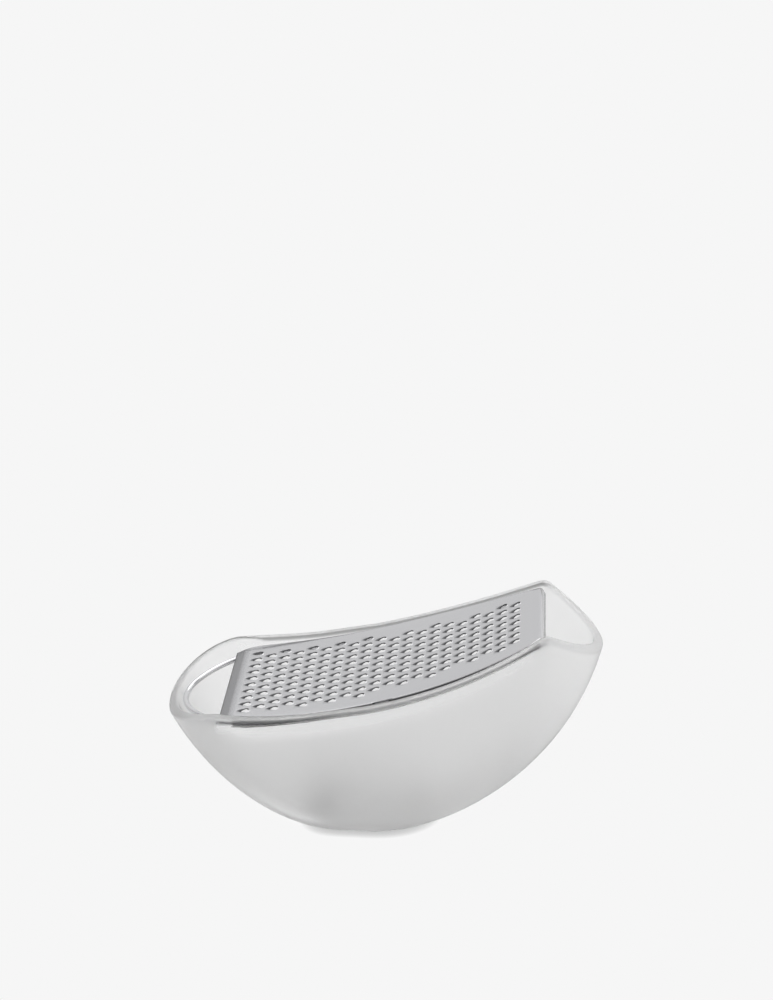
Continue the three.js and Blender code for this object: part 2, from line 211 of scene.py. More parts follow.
# Plate
HALF_ROWS = 10  # lines across the sheet on each side of its middle, two to a row of teeth
OUTER_ROWS = (0.88, 0.04)  # where the sheet gets narrow, the share of its width for its outer lines, and their step
STRIP_LINES = 3  # parts of the strip along X
STRIP_BEND = 0.7 * MM  # length of the bend between plate and strip
STRIP_TAPER = 2 * MM  # narrowing of the sheet on each side, over the strip
TAPER_START = 4 * MM  # where that starts, behind the fold
FOLD_END = 0.4 * MM  # behind the fold, where the sheet is flat again
FOLD_DARKENING = 1 * MM  # behind the fold, where the strip's darkening starts
BEND_STEPS = 6
CUT_REACH = 6 * MM  # faces this far from a gap may be cut by its ends
PUNCH_INSETS = (0.2 * MM, 0.1 * MM)  # these only split a face, whose corners are then put on a ring of the tooth
SHEET_SHOWN = 0.45 * MM  # the sheet looks thinner at the holes, where the punch draws it out
STRIP_DARKENING = 0.62  # how far the end strip is darkened towards the pressed colour
TURNED_EDGE_SHADE = 0.9  # how much painted shade the turned-down long edges get, standing for the shade in the gap by the wall

# Wire
WIRE_SIDES = 16
LEG_STEPS = 28
BOW_STEPS = 64
DIP_END = 4 * MM  # behind the fold, where the wire is back at its height under the plate

# Stage
FLOOR_HALF = 4.0
FLOOR_DROP = 0.02 * MM  # below the base, so that the two faces stay apart
FLOOR_FRONT = 0.09  # the floor ends this far in front of the origin, so that steel facing it mirrors the dark room
CONTACT_REACH = 2.6 * MM
CONTACT_LEVEL = 0.55  # level of the painted contact shadow on the paper right under the part
BASE_LIT = (18 * MM, 15 * MM)  # half sizes of the painted pool of light on the paper under the base, which stands for light through the resin
# level of that painted pool of light
BASE_LEVEL = 0.9
SUN_STRENGTH = 1.2
SUN_SIZE = math.radians(60)
SUN_TILT = math.radians(-25)
CAMERA_PLACE = (0.04417, -0.60107, 0.40561)
CAMERA_TURN = (math.radians(64.8), 0, math.radians(4.1))
CAMERA_LENS = 72
CAMERA_SENSOR = 36
# Light round the table, over a half circle from the backdrop (0 degrees) over the top (90) to the camera's side (180).
STUDIO_LEVELS = (
    (-100, 0.04), (-60, 0.6), (-10, 1.0), (46, 1.0), (54, 0.2), (64, 0.2), (72, 0.9), (135, 0.9), (150, 0.04),
)


class Form:
    """The container's form, worked out once from the settings; x here is counted from the hull's middle."""

    def __init__(self, scene):
        self.hull = scene.grater_hull
        self.rim = scene.grater_rim
        self.plate = scene.grater_plate
        self.seat = scene.grater_seat
        self.wire = scene.grater_wire
        self.teeth = scene.grater_teeth
        hull, rim, plate = self.hull, self.rim, self.plate
        self.keel = hull.centre_z / math.sqrt(1 - (hull.base_half_length / hull.half_length) ** 2)
        self.lip_z = rim.mouth_z - rim.lip_dip
        self.mouth_x = -self.half_length(self.lip_z, 0)
        self.peak_x = self.half_length(rim.peak_z - rim.heel_drop, 0) - rim.peak_setback
        self.rim_arc = arc_through((self.mouth_x, rim.mouth_z), (self.peak_x, rim.peak_z), rim.arc_radius)
        self.plate_start = self.mouth_x + plate.mouth_gap
        self.plate_end = self.peak_x - plate.heel_gap
        self.fold_x = self.plate_start + plate.strip_length
        self.edge_start = self.fold_x + plate.relief_width
        self.plate_inset = hull.wall + plate.clearance
        self.plate_arc = arc_through(
            (self.plate_start, arc_z(self.rim_arc, self.plate_start) - plate.mouth_drop),
            (self.plate_end, arc_z(self.rim_arc, self.plate_end) - plate.heel_drop),
            plate.arc_radius,
        )
        middle = (self.plate_start + self.plate_end) / 2 + self.seat.rib_shift
        self.rib_span = (middle - self.seat.rib_length / 2, middle + self.seat.rib_length / 2)
        self.wire_inset = self.plate_inset + plate.sheet + self.wire.setback + self.wire.diameter / 2
        self.wire_drop = plate.sheet + self.wire.gap + self.wire.diameter / 2
        self.shelf_drop = plate.edge_height + self.seat.clearance
        self.shelf_end = self.plate_end - plate.sheet - plate.clearance

    def depth(self, z, inset):
        """Share of the keel's depth at a height, from 0 at the widest level."""
        return min(1.0, abs(self.hull.centre_z - z) / (self.keel - inset))

    def half_length(self, z, inset):
        """Half length of a level's outline."""
        return (self.hull.half_length - inset) * math.sqrt(1 - self.depth(z, inset) ** 2)

    def half_width(self, z, inset):
        """Half width of a level's outline at its middle."""
        power = self.hull.section_power
        return (self.hull.half_width - inset) * (1 - self.depth(z, inset) ** power) ** (1 / power)

    def outline_point(self, c, s, z, inset):
        """Point of a level's outline, for a direction (c, s) on the unit circle."""
        power = self.hull.mouth_power if c < 0 else self.hull.heel_power
        return self.half_length(z, inset) * math.copysign(abs(c) ** (2 / power), c), self.half_width(z, inset) * s

    def outline_width(self, x, z, inset):
        """Half width of a level's outline at x."""
        power = self.hull.mouth_power if x < 0 else self.hull.heel_power
        return self.half_width(z, inset) * math.sqrt(max(0, 1 - (abs(x) / self.half_length(z, inset)) ** power))

    def rim_z(self, x):
        """Height of the rim at x."""
        rim = self.rim
        lip_end = self.mouth_x + rim.lip_length
        lip_top = arc_z(self.rim_arc, lip_end)
        curl = (self.mouth_x + rim.lip_curl, lip_top)
        heel_slope = rim.heel_drop / rim.peak_setback
        if x <= self.mouth_x:
            return self.lip_z + (x - self.mouth_x) * (lip_top - self.lip_z) / rim.lip_curl
        if x < lip_end:
            return curve_z(x, (self.mouth_x, self.lip_z), curl, (lip_end, lip_top))
        if x <= self.peak_x - rim.peak_rounding:
            return arc_z(self.rim_arc, x)
        if x < self.peak_x + rim.peak_rounding:
            start = (self.peak_x - rim.peak_rounding, arc_z(self.rim_arc, self.peak_x - rim.peak_rounding))
            end = (self.peak_x + rim.peak_rounding, rim.peak_z - heel_slope * rim.peak_rounding)
            return curve_z(x, start, (self.peak_x, rim.peak_z), end)
        return rim.peak_z - heel_slope * (x - self.peak_x)

    def rim_height(self, c, s, inset):
        """Height of the rim in a direction of the outline."""
        z = self.rim.mouth_z
        for _ in range(RIM_PASSES):
            z = self.rim_z(self.outline_point(c, s, z, inset)[0])
        return z

    def seat_height(self, c, s, drop):
        """Height on the inner wall of the plate's arc lowered by drop, or of the lower end of the rim."""
        z = self.rim.mouth_z
        top = self.rim_height(c, s, self.hull.wall) - LIP_ZONE
        for _ in range(RIM_PASSES):
            x = self.outline_point(c, s, z, self.hull.wall)[0]
            z = min(arc_z(self.plate_arc, x, drop), top)
        return z

    def plate_angle(self, x):
        """Angle of the plate's arc at x."""
        return arc_angle(self.plate_arc, x)

    def plate_half_width(self, x):
        """Half width of the plate over its turned-down edges."""
        low = arc_z(self.plate_arc, x, self.plate.edge_height)
        return self.outline_width(x, low, self.plate_inset)

    def rolled(self, along, across, up):
        """A point of the flat sheet, measured from the fold, once the sheet is rolled to the plate's arc."""
        x, z, radius = self.plate_arc
        angle = self.plate_angle(self.fold_x) + max(0, along) / radius
        bent = min(1, max(0, -along) / STRIP_BEND) * self.plate.strip_angle
        straight = max(0, -along - STRIP_BEND)
        bend_radius = STRIP_BEND / self.plate.strip_angle
        out = (bend_radius + up) * math.sin(bent) + straight * math.cos(bent)
        rise = up * math.cos(bent) - bend_radius * (1 - math.cos(bent)) - straight * math.sin(bent)
        c, s = math.cos(angle), math.sin(angle)
        return Vector((x + (radius - rise) * c + out * s + self.hull.shift, across, z + (radius - rise) * s - out * c))

    def plate_x(self, along):
        """X of the plate's face at a distance along the sheet."""
        x, _, radius = self.plate_arc
        return x + radius * math.cos(self.plate_angle(self.fold_x) + along / radius)

    def sheet_half_width(self, along):
        """Half width of the flat sheet between its bends, at a distance along it."""
        narrowed = STRIP_TAPER * smooth_share(-along, -TAPER_START, self.plate.strip_length)
        return self.plate_half_width(self.plate_x(along)) - self.plate.edge_bend - narrowed

    def along(self, x):
        """Distance along the sheet from the fold to x."""
        return (self.plate_angle(x) - self.plate_angle(self.fold_x)) * self.plate_arc[2]


def arc_through(start, end, radius):
    """Centre and radius of the circle through two points of the side view, that hangs down between them."""
    (x0, z0), (x1, z1) = start, end
    chord = math.hypot(x1 - x0, z1 - z0)
    height = math.sqrt(radius ** 2 - (chord / 2) ** 2)
    return (x0 + x1) / 2 - (z1 - z0) / chord * height, (z0 + z1) / 2 + (x1 - x0) / chord * height, radius


def arc_angle(arc, x, drop=0.0):
    """Angle at x on the lower half of an arc, or of one that lies lower by drop."""
    return math.asin((x - arc[0]) / (arc[2] + drop)) - math.pi / 2


def arc_z(arc, x, drop=0.0):
    """Height at x of an arc, or of one that lies lower by drop."""
    return arc[1] + (arc[2] + drop) * math.sin(arc_angle(arc, x, drop))


def curve_z(x, start, middle, end):
    """Height at x of the curve that leaves start towards middle and arrives at end from it."""
    a = start[0] - 2 * middle[0] + end[0]
    b = 2 * (middle[0] - start[0])
    c = start[0] - x
    t = -c / b if abs(a) < 1e-9 else (-b + math.sqrt(b * b - 4 * a * c)) / (2 * a)
    return (1 - t) ** 2 * start[1] + 2 * t * (1 - t) * middle[1] + t * t * end[1]


def smooth_share(value, low, high):
    """0 below low, 1 above high, with a soft start and end."""
    share = min(1.0, max(0.0, (value - low) / (high - low)))
    return share * share * (3 - 2 * share)


def inside_share(value, low, high):
    """1 between low and high and 0 well outside, with a short slope at each end."""
    return smooth_share(value, low - SEAT_SLOPE, low) * (1 - smooth_share(value, high, high + SEAT_SLOPE))


def finish_mesh(bm, name, body, node):
    """Makes a piece of a finished mesh, on its body and in place of its plain node."""
    mesh = bpy.data.meshes.new(name)
    bm.normal_update()
    for face in bm.faces:
        face.smooth = True
    bm.to_mesh(mesh)
    bm.free()
    piece = bpy.data.objects.new(name, mesh)
    bpy.context.scene.collection.objects.link(piece)
    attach(piece, body)
    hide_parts(node)
    return piece


def add_node(material, kind, settings=None, **links):
    """Adds a node, sets its properties and values, and links the sockets named."""
    tree = material.node_tree
    made = tree.nodes.new(kind)
    for key, value in (settings or {}).items():
        if isinstance(key, str) and hasattr(made, key):
            setattr(made, key, value)
        else:
            made.inputs[key].default_value = value
    for key, source in links.items():
        socket = made.inputs[int(key[1:])] if key[0] == "_" else made.inputs[key.replace("_", " ")]
        tree.links.new(source, socket)
    return made


def new_material(name):
    """An empty node material with its output."""
    material = bpy.data.materials.new(name)
    material.use_nodes = True
    material.node_tree.nodes.clear()
    return material, material.node_tree.nodes.new("ShaderNodeOutputMaterial")


def frosted_resin(look):
    """Moulded translucent resin: milky and frosted, coarser and paler at the heel, and clearer where the steel edge
    shows through the wall. Painted shade darkens the rim's edge, which light leaves sideways, and the inside low down."""
    material, output = new_material("moulded_frosted_resin")
    polish = add_node(material, "ShaderNodeAttribute", {"attribute_name": "polish"})
    # The edge attribute holds painted shade: the rim's dark line, the band round the heel and the inside low down.
    edge = add_node(material, "ShaderNodeAttribute", {"attribute_name": "edge"})
    # The painted shade counts only for light that enters from outside, so that it isn't seen again through the far
    # face.
    side = add_node(material, "ShaderNodeNewGeometry")
    outside = add_node(material, "ShaderNodeMath", {"operation": "SUBTRACT", 0: 1.0}, _1=side.outputs["Backfacing"])
    share = add_node(
        material, "ShaderNodeMath", {"operation": "MULTIPLY"}, _0=edge.outputs["Fac"], _1=outside.outputs[0]
    )
    painted_shade_mix = add_node(
        material, "ShaderNodeMix", {"data_type": "RGBA", 6: look.resin, 7: look.edge}, _0=share.outputs[0]
    )
    place = add_node(material, "ShaderNodeTexCoord")
    # The spark-eroded mould leaves a grain of about 0.1 mm, drawn 0.5 mm wide so that it shows.
    grain = add_node(
        material, "ShaderNodeTexNoise", {"Scale": 1 / (0.5 * MM), "Detail": 2.0}, Vector=place.outputs["Object"]
    )
    rough = add_node(
        material, "ShaderNodeMapRange", {"To Min": 0.44, "To Max": 0.1, "clamp": False}, Value=polish.outputs["Fac"]
    )
    spread = add_node(
        material, "ShaderNodeMath", {"operation": "MULTIPLY_ADD", 1: 0.06},
        _0=grain.outputs["Fac"], _2=rough.outputs["Result"],
    )
    bump = add_node(
        material, "ShaderNodeBump", {"Strength": 0.05, "Distance": 0.1 * MM}, Height=grain.outputs["Fac"]
    )
    shader = add_node(
        material, "ShaderNodeBsdfPrincipled", {"Transmission Weight": 0.97, "IOR": 1.49},
        Base_Color=painted_shade_mix.outputs[2], Roughness=spread.outputs[0], Normal=bump.outputs[0],
    )
    material.node_tree.links.new(shader.outputs[0], output.inputs["Surface"])
    return material


def steel_lines(material, long, wide, detail, rough, bump):
    """Roughness and relief of the lines along X that rolling or drawing leaves, from their sizes and levels."""
    place = add_node(material, "ShaderNodeTexCoord")
    scale = (1 / long, 1 / wide, 1 / wide)
    drawn = add_node(material, "ShaderNodeMapping", {"Scale": scale}, Vector=place.outputs["Object"])
    lines = add_node(material, "ShaderNodeTexNoise", {"Scale": 1.0, "Detail": detail}, Vector=drawn.outputs[0])
    fac = lines.outputs["Fac"]
    spread = add_node(material, "ShaderNodeMapRange", {"To Min": rough[0], "To Max": rough[1]}, Value=fac)
    relief = add_node(material, "ShaderNodeBump", {"Strength": bump[0], "Distance": bump[1]}, Height=fac)
    return spread.outputs[0], relief.outputs[0]


def satin_steel(look):
    """Pressed stainless sheet: satin with fine lengthwise grain, and matt where the press formed it, with painted
    shade there that darkens the tooth pockets, the hole walls and the turned-down edges, and a darker end strip.
    """
    material, output = new_material("pressed_satin_stainless")
    pressed_and_shade = add_node(material, "ShaderNodeAttribute", {"attribute_name": "pressed_and_shade"})
    painted_shade_mix = add_node(
        material, "ShaderNodeMix", {"data_type": "RGBA", 6: look.plate, 7: look.pressed_and_shade}, _0=pressed_and_shade.outputs["Fac"]
    )
    # Rolling grain, really about 0.05 mm wide, is drawn 0.3 mm wide and 8 mm long so that it shows.
    rough, relief = steel_lines(material, 8 * MM, 0.3 * MM, 3.0, (0.12, 0.22), (0.03, 0.05 * MM))
    matt = add_node(
        material, "ShaderNodeMath", {"operation": "MULTIPLY_ADD", 1: 0.2}, _0=pressed_and_shade.outputs["Fac"], _2=rough
    )
    shader = add_node(
        material, "ShaderNodeBsdfPrincipled", {"Metallic": 1.0},
        Base_Color=painted_shade_mix.outputs[2], Roughness=matt.outputs[0], Normal=relief,
    )
    material.node_tree.links.new(shader.outputs[0], output.inputs["Surface"])
    return material


def bright_steel(look):
    """Drawn and polished stainless wire: bright, with faint lines from the drawing die along it."""
    material, output = new_material("polished_stainless_wire")
    # Die lines, really about 0.02 mm wide, are drawn 0.2 mm wide and 10 mm long so that they show.
    rough, relief = steel_lines(material, 10 * MM, 0.2 * MM, 2.0, (0.04, 0.12), (0.02, 0.02 * MM))
    shader = add_node(
        material, "ShaderNodeBsdfPrincipled", {"Base Color": look.wire, "Metallic": 1.0},
        Roughness=rough, Normal=relief,
    )
    material.node_tree.links.new(shader.outputs[0], output.inputs["Surface"])
    return material


class GRATER_OT_container(bpy.types.Operator):
    """Container: a tube of rings, each put on an outline of the hull, from the base round the rim to the floor"""

    bl_idname = "grater.container"
    bl_label = "Container"

    def rings(self, form):
        """Rings as (share of the outline, inset, how its height is told, value), from the base's middle outwards."""
        wall, rounding, seat = form.hull.wall, form.rim.rounding, form.seat
        outer_levels, inner_levels, arc_steps, top_steps = 24, 18, 6, 4
        made = [(share, 0, "wall", 0) for share in (0.0, 0.5, 0.85, 0.97)]
        made += [(1, 0, "wall", (k / outer_levels) ** 2) for k in range(outer_levels + 1)]
        made += [(1, 0, "drop", drop * MM) for drop in OUTER_DROPS]
        for k in range(arc_steps + 1):
            turn = math.pi / 2 * k / arc_steps
            made.append((1, rounding * (1 - math.cos(turn)), "drop", rounding * (1 - math.sin(turn))))
        made += [(1, rounding + (wall - 2 * rounding) * k / top_steps, "drop", 0) for k in range(1, top_steps)]
        for k in range(arc_steps + 1):
            turn = math.pi / 2 * (1 - k / arc_steps)
            made.append((1, wall - rounding * (1 - math.cos(turn)), "drop", rounding * (1 - math.sin(turn))))
        made += [(1, wall, "drop", drop * MM) for drop in INNER_DROPS]
        rib_top = form.plate.sheet + seat.notch_clearance
        made += [(1, wall, "seat", rib_top), (1, "rib", "seat", rib_top), (1, "rib", "seat", form.shelf_drop)]
        shelf_low = form.shelf_drop + seat.shelf_thickness
        made += [(1, "shelf", "seat", form.shelf_drop), (1, "shelf", "seat", shelf_low)]
        made += [(1, wall, "inside", (1 - k / inner_levels) ** 2) for k in range(inner_levels + 1)]
        return made + [(share, wall, "inside", 0) for share in (0.95, 0.8, 0.45, 0.0)]

    def place(self, form, ring, c, s):
        """Point of a ring in the direction (c, s), and how far it lies below the rim."""
        share, inset, kind, value = ring
        wall, seat = form.hull.wall, form.seat
        top = form.rim_height(c, s, inset if kind == "drop" else wall)
        x = form.outline_point(c, s, top, wall)[0]
        if inset == "rib":
            inset = wall + (form.plate.clearance + form.plate.sheet) * inside_share(x, *form.rib_span)
        elif inset == "shelf":
            inset = wall + seat.shelf_width * inside_share(x, form.edge_start, form.shelf_end)
        if kind == "drop":
            z = top - value
        elif kind == "wall":
            z = (form.rim_height(c, s, 0) - RIM_ZONE) * value
        elif kind == "seat":
            z = form.seat_height(c, s, value)
        else:
            high = form.seat_height(c, s, form.shelf_drop + seat.shelf_thickness) - SHELF_FILLET
            z = form.hull.floor + (high - form.hull.floor) * value
        x, y = form.outline_point(c, s, z, inset)
        return Vector((share * x + form.hull.shift, share * y, z)), top - z

    def polish(self, form, x, z, drop):
        """How clear the resin is: clear in a band beside the plate, finer at the mouth and coarser at the heel."""
        beside = inside_share(x, form.plate_start, form.plate_end)
        band = smooth_share(drop, *POLISH_START) * (1 - smooth_share(drop, *POLISH_END))
        low = (1 - smooth_share(z, *MOUTH_HEIGHT)) * (1 - smooth_share(x, *MOUTH_LENGTH))
        heel = smooth_share(x, form.plate_end - 2 * EDGE_FADE, form.plate_end + EDGE_FADE)
        lowered = smooth_share(drop, *HEEL_RIM_DEPTH)
        matt = HEEL_WALL_MATT * lowered + HEEL_RIM_MATT * (1 - lowered)
        return beside * band + MOUTH_POLISH * low - heel * matt

    def painted_rim_shade(self, form, x, y, inset, drop):
        """How much painted shade the rim gets: a thin dark line along its inner edge, standing for the dark line that
        light leaving it sideways draws there, which on the far side crosses to its outer edge at the lip and fades out
        there, and a faint band all over the rim at the heel."""
        start = form.plate_start if y < 0 else form.mouth_x
        along = smooth_share(x, start, start + 2 * EDGE_FADE)
        along *= 1 - smooth_share(x, form.plate_end, form.plate_end + EDGE_FADE)
        middle = form.hull.wall - 0.5 * form.rim.rounding
        if y > 0:
            outer = form.rim.rounding + EDGE_OUTSET
            middle = outer + (middle - outer) * smooth_share(x - form.plate_start, *EDGE_CROSSING)
        below = max(0, drop - form.rim.rounding)
        across = inset + (below if inset > form.hull.wall / 2 else -below)
        line = along * (1 - smooth_share(abs(across - middle), *RIM_SHADE_LINE))
        band = HEEL_RIM_SHADE * smooth_share(x, form.plate_end - EDGE_FADE, form.plate_end + EDGE_FADE)
        return max(line, band * (1 - smooth_share(drop, *HEEL_RIM_SHADE_DEPTH)))

    def execute(self, context):
        form = Form(context.scene)
        rings = self.rings(form)
        bm = bmesh.new()
        profile = [bm.verts.new((1, 0, k)) for k in range(len(rings))]
        edges = [bm.edges.new(pair) for pair in zip(profile, profile[1:])]
        bmesh.ops.spin(
            bm, geom=profile + edges, cent=(0, 0, 0), axis=(0, 0, 1), angle=2 * math.pi,
            steps=HULL_SEGMENTS, use_merge=True,
        )
        polish = bm.verts.layers.float.new("polish")
        # Painted shade goes into the edge layer: the rim's dark line, the heel band and the inside low down.
        edge = bm.verts.layers.float.new("edge")
        for corner in bm.verts:
            ring = rings[round(corner.co.z)]
            corner.co, drop = self.place(form, ring, corner.co.x, corner.co.y)
            x = corner.co.x - form.hull.shift
            corner[polish] = self.polish(form, x, corner.co.z, drop)
            if ring[2] == "drop":
                corner[edge] = self.painted_rim_shade(form, x, corner.co.y, ring[1], ring[3])
            # Painted shade low inside, with less of it towards the heel.
            elif ring[2] == "inside":
                low = 1 - smooth_share(corner.co.z, *SHADE_HEIGHT)
                corner[edge] = INNER_SHADE * low * (1 - HEEL_SHADE_LOSS * smooth_share(x, *SHADE_LENGTH))
        bmesh.ops.remove_doubles(bm, verts=bm.verts, dist=1e-6)
        bmesh.ops.recalc_face_normals(bm, faces=bm.faces)
        piece = finish_mesh(bm, "container_shell", "container", "container")
        piece.data.materials.append(frosted_resin(context.scene.grater_finish))
        return {"FINISHED"}


class GRATER_OT_plate(bpy.types.Operator):
    """Grating plate: a flat sheet is punched, its edges are turned down, and it is rolled to its arc"""

    bl_idname = "grater.plate"
    bl_label = "Grating plate"

    def sheet_lines(self, form):
        """Distances along the sheet of the lines across it, from the end strip to the heel's bend."""
        teeth = form.teeth
        first = form.along(form.fold_x + teeth.mouth_margin) + teeth.shift - teeth.column_pitch / 2
        lines = [-form.plate.strip_length * (1 - k / STRIP_LINES) for k in range(STRIP_LINES + 1)]
        lines += [FOLD_END] + [first + teeth.column_pitch / 2 * k for k in range(2 * teeth.columns + 1)]
        last = form.along(form.plate_end - form.plate.heel_bend)
        return lines + [(lines[-1] + last) / 2, last]

    def tooth_places(self, form):
        """Column and row line of every tooth."""
        teeth = form.teeth
        for column in range(teeth.columns):
            limit = teeth.field_half_width - teeth.taper * max(0, column - teeth.taper_start)
            offset = teeth.row_pitch / 2 if column % 2 == 0 else 0
            rows = int((limit - offset) // teeth.row_pitch)
            for row in range(-rows - 1 if offset else -rows, rows + 1):
                yield column, 2 * row + (1 if offset else 0)

    def flat_sheet(self, bm, form, lines):
        """Makes the flat sheet between its bends, and gives its corners by line along and line across."""
        pitch = form.teeth.row_pitch
        share, step = OUTER_ROWS
        bmesh.ops.create_grid(bm, x_segments=len(lines) - 1, y_segments=2 * HALF_ROWS + 2, size=1)
        grid = {}
        for corner in bm.verts:
            i = round((corner.co.x + 1) / 2 * (len(lines) - 1))
            j = round(corner.co.y * (HALF_ROWS + 1))
            grid[i, j] = corner
            edge = form.sheet_half_width(lines[i])
            if abs(j) > HALF_ROWS:
                across = edge
            else:
                across = min(abs(j) * pitch / 2, edge * (share + step * (abs(j) - HALF_ROWS + 2)))
            corner.co = (lines[i], math.copysign(across, j), 0)
        return grid

    def execute(self, context):
        form = Form(context.scene)
        lines = self.sheet_lines(form)
        bm = bmesh.new()
        pressed_and_shade = bm.verts.layers.float.new("pressed_and_shade")
        grid = self.flat_sheet(bm, form, lines)
        centres = [grid[2 * column + 3 + STRIP_LINES, row] for column, row in self.tooth_places(form)]
        spots = [corner.co.copy() for corner in centres]
        bmesh.ops.dissolve_verts(bm, verts=centres)
        holes = [face for face in bm.faces if len(face.verts) == 8]
        bmesh.ops.inset_individual(bm, faces=holes, thickness=PUNCH_INSETS[0], use_even_offset=True)
        bmesh.ops.bisect_edges(bm, edges=list({e for f in holes for e in f.edges}), cuts=1)
        first, *others = self.tooth_rings(form)
        self.shape(holes, spots, first, pressed_and_shade)
        for ring in others:
            bmesh.ops.inset_individual(bm, faces=holes, thickness=PUNCH_INSETS[1], use_even_offset=True)
            self.shape(holes, spots, ring, pressed_and_shade)
        bmesh.ops.delete(bm, geom=holes, context="FACES_ONLY")
        self.turn_edges(bm, form, lines)
        for corner in bm.verts:
            past = abs(corner.co.y) - form.sheet_half_width(corner.co.x)
            # Painted shade on the turned-down edges, standing for the shade in the gap by the wall, and a darker end
            # strip.
            turned = TURNED_EDGE_SHADE * smooth_share(past, 0, form.plate.edge_bend)
            strip = STRIP_DARKENING * smooth_share(-corner.co.x, -FOLD_DARKENING, 0)
            corner[pressed_and_shade] = max(corner[pressed_and_shade], turned, strip)
            corner.co = form.rolled(*corner.co)
        bmesh.ops.recalc_face_normals(bm, faces=bm.faces)
        if sum(f.normal.z for f in bm.faces) < 0:
            bmesh.ops.reverse_faces(bm, faces=bm.faces)
        piece = finish_mesh(bm, "grating_sheet", "insert", "grating_plate")
        solidify = piece.modifiers.new("sheet thickness", "SOLIDIFY")
        solidify.thickness = SHEET_SHOWN
        solidify.offset = -1
        piece.data.materials.append(satin_steel(context.scene.grater_finish))
        return {"FINISHED"}

    def tooth_rings(self, form):
        """Rings of a tooth from the sheet to the hole, as (start, end, half width, pointedness, heights, shades).
        Heights are of the point, the sides and the round end, and shades are the painted shade of the point and the
        round end, which darkens the pocket and the hole's wall."""
        teeth = form.teeth
        start, end, half, deep, blade = (
            teeth.hole_start, teeth.hole_end, teeth.hole_half_width, -teeth.depth, teeth.blade
        )
        tip = -teeth.column_pitch / 2 + 0.05 * MM
        return (
            (tip, -tip, half + 0.4 * MM, 0.4, (0, 0, 0), (0.2, 0)),
            (tip + 0.3 * MM, end + 0.2 * MM, half + 0.2 * MM, 0.35, (0.06 * deep, 0, 0.2 * blade), (0.9, 0.1)),
            (tip + 0.6 * MM, end + 0.08 * MM, half + 0.08 * MM, 0.35, (0.4 * deep, 0, 0.7 * blade), (1, 0.3)),
            (start, end, half, 0.35, (deep, 0.1 * deep, blade), (1, 1)),
        )

    def shape(self, holes, spots, ring, pressed_and_shade):
        """Puts the corners of each punched face on a ring, counted round from the heel side, and gives them the ring's
        painted shade.
        """
        start, end, half, point, (tip_up, side_up, end_up), (tip_shade, end_shade) = ring
        for face in holes:
            spot = min(spots, key=lambda p: (p - face.calc_center_bounds()).length_squared)
            corners = list(face.verts)
            offsets = [corner.co - spot for corner in corners]
            first = max(range(len(corners)), key=lambda k: offsets[k].x - 2 * abs(offsets[k].y))
            way = 1 if face.normal.z > 0 else -1
            for k, corner in enumerate(corners):
                turn = way * 2 * math.pi * (k - first) / len(corners)
                c, s = math.cos(turn), math.sin(turn)
                up = tip_up * max(0, -c) ** 2 + end_up * max(0, c) ** 2 + side_up * s * s
                across = half * s * max(0, (1 + c) / 2) ** point * (1 + 0.6 * point)
                corner.co = spot + Vector(((start + end) / 2 + (end - start) / 2 * c, across, up))
                corner[pressed_and_shade] = end_shade + (tip_shade - end_shade) * smooth_share(-c, -0.2, 0.6)

    def turn_edges(self, bm, form, lines):
        """Turns down the heel edge and the long edges, and cuts the long edges' gaps."""
        plate = form.plate
        heel = [e for e in bm.edges if e.is_boundary and all(v.co.x > lines[-1] - 1e-7 for v in e.verts)]
        self.fold_down(bm, heel, Vector((1, 0, 0)), plate.heel_bend, plate.heel_edge_height)
        for side in (-1, 1):
            long = [e for e in bm.edges if e.is_boundary and all(self.on_edge(form, v.co, side) for v in e.verts)]
            self.fold_down(bm, long, Vector((0, side, 0)), plate.edge_bend, plate.edge_height)
        notch = [form.along(form.rib_span[k]) + (2 * k - 1) * form.seat.notch_clearance for k in (0, 1)]
        for low, high in (notch, (0, plate.relief_width)):
            self.cut_gap(bm, form, low, high)

    def on_edge(self, form, place, side):
        """Whether a corner of the flat sheet lies on the line where a long edge starts to bend."""
        return abs(place.y * side - form.sheet_half_width(place.x)) < 1e-6 and abs(place.z) < 1e-7

    def cut_gap(self, bm, form, low, high):
        """Cuts the turned-down long edges away between two distances along the sheet."""
        def turned(face):
            place = face.calc_center_median()
            return abs(place.y) > form.sheet_half_width(place.x) + 0.3 * form.plate.edge_bend

        for at in (low, high):
            near = low - CUT_REACH, high + CUT_REACH
            faces = [f for f in bm.faces if turned(f) and near[0] < f.calc_center_median().x < near[1]]
            parts = {g for f in faces for g in (*f.verts, *f.edges)}
            bmesh.ops.bisect_plane(bm, geom=faces + list(parts), plane_co=(at, 0, 0), plane_no=(1, 0, 0), dist=1e-7)
        gone = [f for f in bm.faces if turned(f) and low < f.calc_center_median().x < high]
        bmesh.ops.delete(bm, geom=gone, context="FACES")

    def fold_down(self, bm, edges, ahead, bend, height):
        """Extrudes an edge row round a quarter bend and then straight down to its height."""
        turns = [math.pi / 2 * k / BEND_STEPS for k in range(BEND_STEPS + 1)]
        steps = []
        for before, now in zip(turns, turns[1:]):
            step = ahead * bend * (math.sin(now) - math.sin(before))
            step.z = -bend * (math.cos(before) - math.cos(now))
            steps.append(step)
        for step in (*steps, Vector((0, 0, bend - height))):
            extruded = bmesh.ops.extrude_edge_only(bm, edges=edges)["geom"]
            edges = [g for g in extruded if isinstance(g, bmesh.types.BMEdge)]
            bmesh.ops.translate(bm, verts=list({v for e in edges for v in e.verts}), vec=step)


